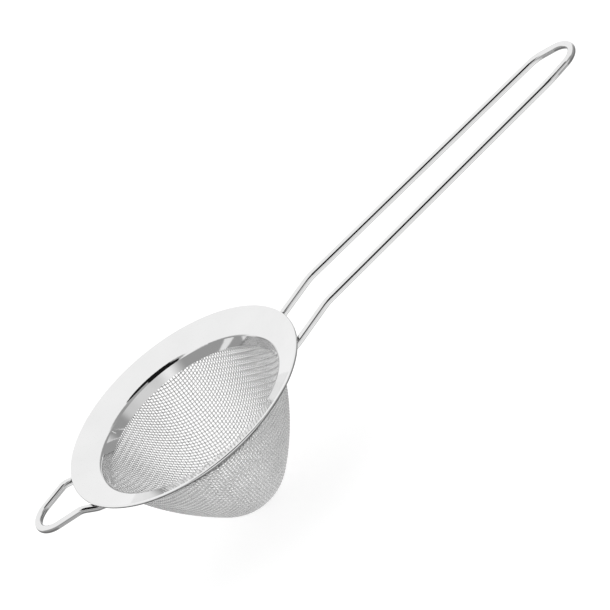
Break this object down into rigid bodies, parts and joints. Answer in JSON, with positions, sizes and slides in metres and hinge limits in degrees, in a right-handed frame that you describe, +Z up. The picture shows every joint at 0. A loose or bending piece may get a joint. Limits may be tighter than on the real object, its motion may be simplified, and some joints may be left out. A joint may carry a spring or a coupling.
{
  "type": "tea strainer",
  "caption": "Conical fine-mesh tea strainer: sheet rim with sloping flange, woven steel basket, long hairpin wire handle and short rest loop.",
  "frame": {"origin": "centre of the rim, level with its outer edge, about where the mouth of a cup is when the strainer sits on it", "axes": "+Z up out of the open basket, +X along the handle away from the basket, rest loop towards -X"},
  "size_m": [0.224, 0.085, 0.0571],
  "materials": {
    "rim_steel": "polished stainless sheet",
    "wire_steel": "bright drawn stainless wire",
    "woven_wire": "plain-weave stainless wire cloth, bright",
    "weld_steel": "spot-weld nugget, slightly heat-tinted"
  },
  "bodies": {
    "root": {"rim_flange": "rim_steel", "clamp_ring": "rim_steel", "mesh_basket": "woven_wire", "handle_wire": "wire_steel", "rest_loop_wire": "wire_steel", "handle_welds": "weld_steel", "rest_loop_welds": "weld_steel"}
  },
  "joints": []
}
